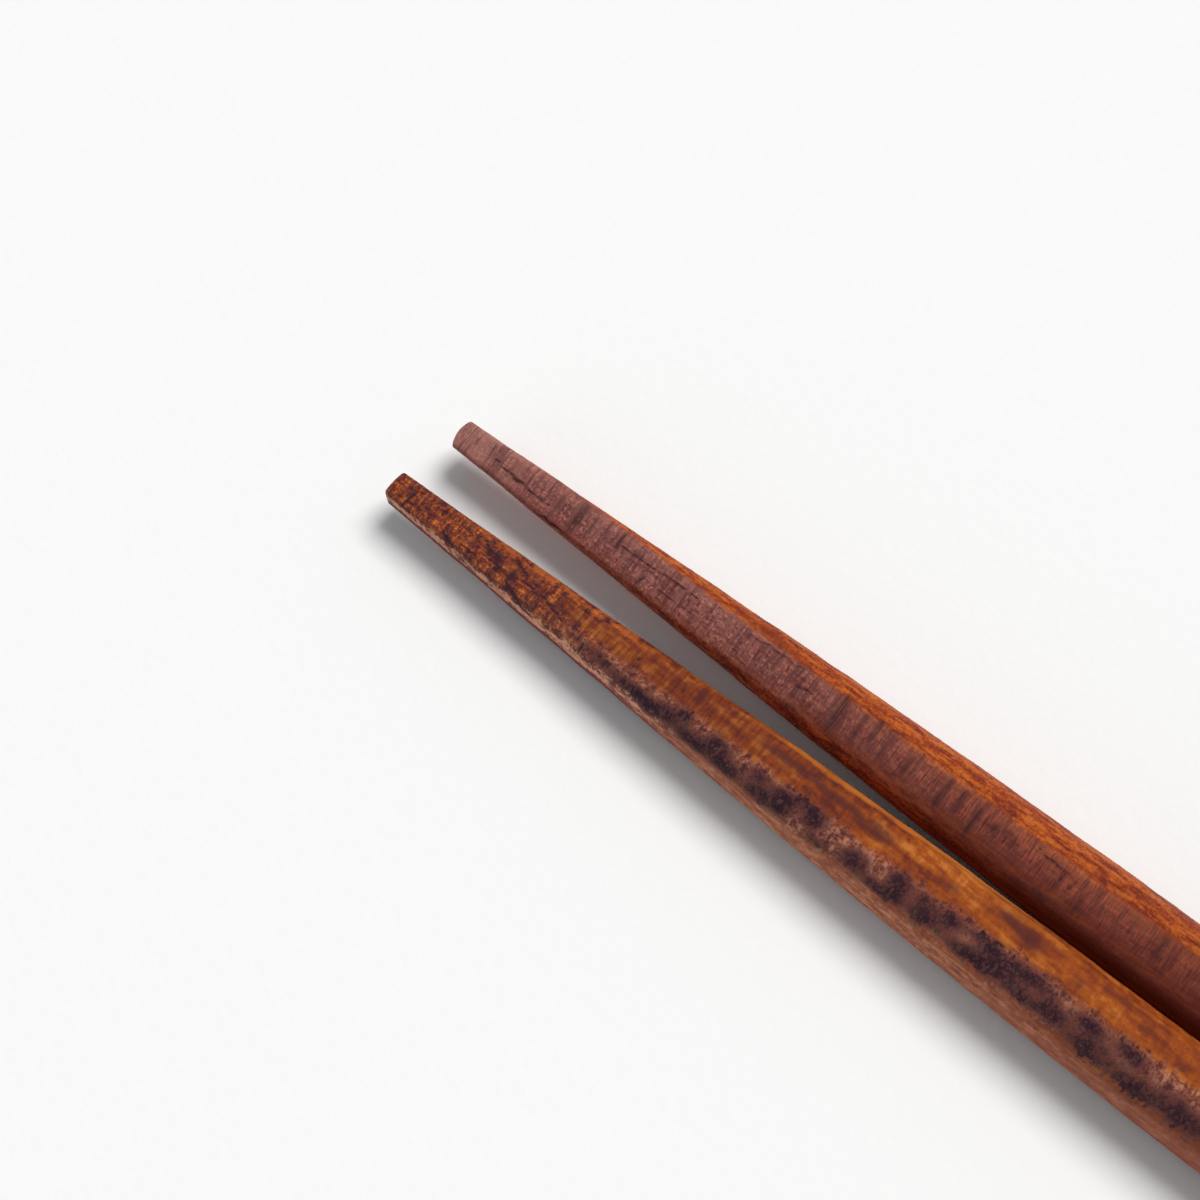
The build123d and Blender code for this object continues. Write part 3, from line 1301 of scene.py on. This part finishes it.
    def build(self) -> bpy.types.Object:
        """Make the stick's mesh in the scene, in place of the frame's solid.

        Returns:
            The dressed stick.
        """
        place = self.place()
        mesh = self.mesh(place)
        self.add_map(mesh)
        self.add_marks(mesh)
        mesh.materials.append(self.finish.material(place, self.turn))
        mesh.update()
        piece = bpy.data.objects.new(f"{self.node}_wood", mesh)
        bpy.context.scene.collection.objects.link(piece)
        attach(piece, "root")
        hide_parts(self.node)
        log.info("%s: %d faces, tip at %s", piece.name, len(mesh.polygons), tuple(round(v, 5) for v in place))
        return piece


# The studio


def direction(azimuth: float, elevation: float) -> Vector:
    """Unit vector at an azimuth, 0 towards -Y and 90 towards +X, and an elevation, both in degrees."""
    a, e = radians(azimuth), radians(elevation)
    return Vector((sin(a) * cos(e), -cos(a) * cos(e), sin(e)))


@dataclass(frozen=True)
class Lamp:
    """A square soft lamp that faces the middle of the view, far off so that it lights the floor evenly.

    Spread is its width as a share of its distance, strength its power for a distance of one metre.
    """

    name: str
    azimuth: float
    elevation: float
    spread: float
    strength: float
    colour: Colour
    in_gloss: bool = True
    distance: float = 24.0

    def add(self, target: Vector) -> None:
        """Hang the lamp.

        Args:
            target: where it points, in metres.
        """
        data = bpy.data.lights.new(self.name, "AREA")
        data.shape = "SQUARE"
        data.size = self.spread * self.distance
        data.energy = self.strength * self.distance**2
        data.color = self.colour
        lamp = bpy.data.objects.new(self.name, data)
        towards = direction(self.azimuth, self.elevation)
        lamp.location = target + towards * self.distance
        lamp.rotation_euler = towards.to_track_quat("Z", "Y").to_euler()
        lamp.visible_camera = False
        lamp.visible_glossy = self.in_gloss
        bpy.context.scene.collection.objects.link(lamp)


@dataclass(frozen=True)
class Paper:
    """Matt pale paper with very fine wrinkles: the floor's finish."""

    white: Colour = (0.93, 0.93, 0.93)
    wrinkle: float = 0.0011
    wrinkle_height: float = 0.00003

    def material(self) -> bpy.types.Material:
        """Make the paper's material.

        Returns:
            The material.
        """
        shader = Shader(bpy.data.materials.new("floor_paper"))
        place = shader.node("ShaderNodeTexCoord", output="Object")
        values = {"Vector": place, "Scale": 1 / self.wrinkle, "Detail": 2.0}
        wrinkles = shader.node("ShaderNodeTexNoise", {"noise_dimensions": "2D"}, values)
        normal = shader.node("ShaderNodeBump", None, {"Height": wrinkles, "Distance": self.wrinkle_height})
        surface = shader.node("ShaderNodeBsdfDiffuse", None, {"Color": self.white, "Normal": normal})
        shader.node("ShaderNodeOutputMaterial", None, {"Surface": surface})
        return shader.owner


@dataclass(frozen=True)
class Studio:
    """Floor, light and camera. The camera stands close above the tips, as in the photograph."""

    view_target: tuple[float, float, float] = (-0.09594, 0.00036, 0.0)
    view_azimuth: float = 39.37
    view_elevation: float = 68.0
    view_distance: float = 0.135
    view_angle: float = 42.0
    sensor: float = 36.0
    clip_start: float = 0.005
    floor_half: float = 1.5
    floor_drop: float = 0.00002
    paper: Paper = Paper()
    ambient: float = 0.116
    backdrop: Colour = (0.93, 0.93, 0.93)
    lamps: tuple[Lamp, ...] = (
        Lamp("key_lamp", 160.0, 60.5, 0.5, 8.55, KEY_TINT, in_gloss=False),
        Lamp("wide_lamp", 160.0, 50.0, 1.5, 2.18, KEY_TINT, in_gloss=False),
        Lamp("overhead_lamp", -42.0, 65.0, 0.73, 1.22, FILL_TINT),
        Lamp("side_lamp", -15.0, 22.0, 0.67, 1.26, FILL_TINT),
    )

    def build(self) -> None:
        """Set up the floor, lamps, world and camera."""
        bpy.context.scene.view_settings.view_transform = "Standard"
        self.add_floor()
        target = Vector(self.view_target)
        for lamp in self.lamps:
            lamp.add(target)
        self.add_world()
        self.add_camera(target)
        log.info("studio: floor, %d lamps, camera", len(self.lamps))

    def add_floor(self) -> None:
        """Lay a square of paper just under the sticks."""
        half, level = self.floor_half, -self.floor_drop
        corners = [(-half, -half, level), (half, -half, level), (half, half, level), (-half, half, level)]
        mesh = bpy.data.meshes.new("floor")
        mesh.from_pydata(corners, [], [(0, 1, 2, 3)])
        mesh.materials.append(self.paper.material())
        floor = bpy.data.objects.new("floor", mesh)
        bpy.context.scene.collection.objects.link(floor)

    def add_world(self) -> None:
        """A pale backdrop to the eye, in gloss and through glass, and a dim even light on everything else."""
        world = bpy.data.worlds.new("studio")
        shader = Shader(world)
        rays = [f"Is {ray} Ray" for ray in ("Camera", "Glossy", "Transmission")]
        seen, *others = (shader.node("ShaderNodeLightPath", output=ray) for ray in rays)
        for other in others:
            seen = seen.most(other)
        light = shader.node("ShaderNodeBackground", None, {"Color": FILL_TINT, "Strength": self.ambient})
        pale = shader.node("ShaderNodeBackground", None, {"Color": self.backdrop})
        values = {"Fac": seen, "Shader": light, "Shader_001": pale}
        surface = shader.node("ShaderNodeMixShader", None, values)
        shader.node("ShaderNodeOutputWorld", None, {"Surface": surface})
        bpy.context.scene.world = world

    def add_camera(self, target: Vector) -> None:
        """Stand the camera at the photograph's angle.

        Args:
            target: the point in the middle of the picture, in metres.
        """
        data = bpy.data.cameras.new("camera")
        data.sensor_width = self.sensor
        data.lens = self.sensor / 2 / tan(radians(self.view_angle) / 2)
        data.clip_start = self.clip_start
        camera = bpy.data.objects.new("camera", data)
        back = direction(self.view_azimuth, self.view_elevation)
        camera.location = target + back * self.view_distance
        camera.rotation_euler = back.to_track_quat("Z", "Y").to_euler()
        bpy.context.scene.collection.objects.link(camera)
        bpy.context.scene.camera = camera


def main() -> None:
    """Load the frame, build the studio and both sticks, and log what was built."""
    logging.basicConfig(level=logging.INFO, format="%(name)s: %(message)s")
    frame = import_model()
    log.info("frame: nodes %s", sorted(frame["nodes"]))
    Studio().build()
    near_wear = Wear(seed=4, blunt=0.10)
    near_roll = 0.0
    Chopstick("near_chopstick", "near_wood", Side.NEAR, near_roll, NearFinish(), near_wear).build()
    far_wear = Wear(seed=9, blunt=0.36)
    far_roll = radians(18.0)
    far_form = StickForm(tip_width=2.72, tip_corner=0.46)
    Chopstick("far_chopstick", "far_wood", Side.FAR, far_roll, FarFinish(), far_wear, far_form).build()


if __name__ == "__main__":
    main()
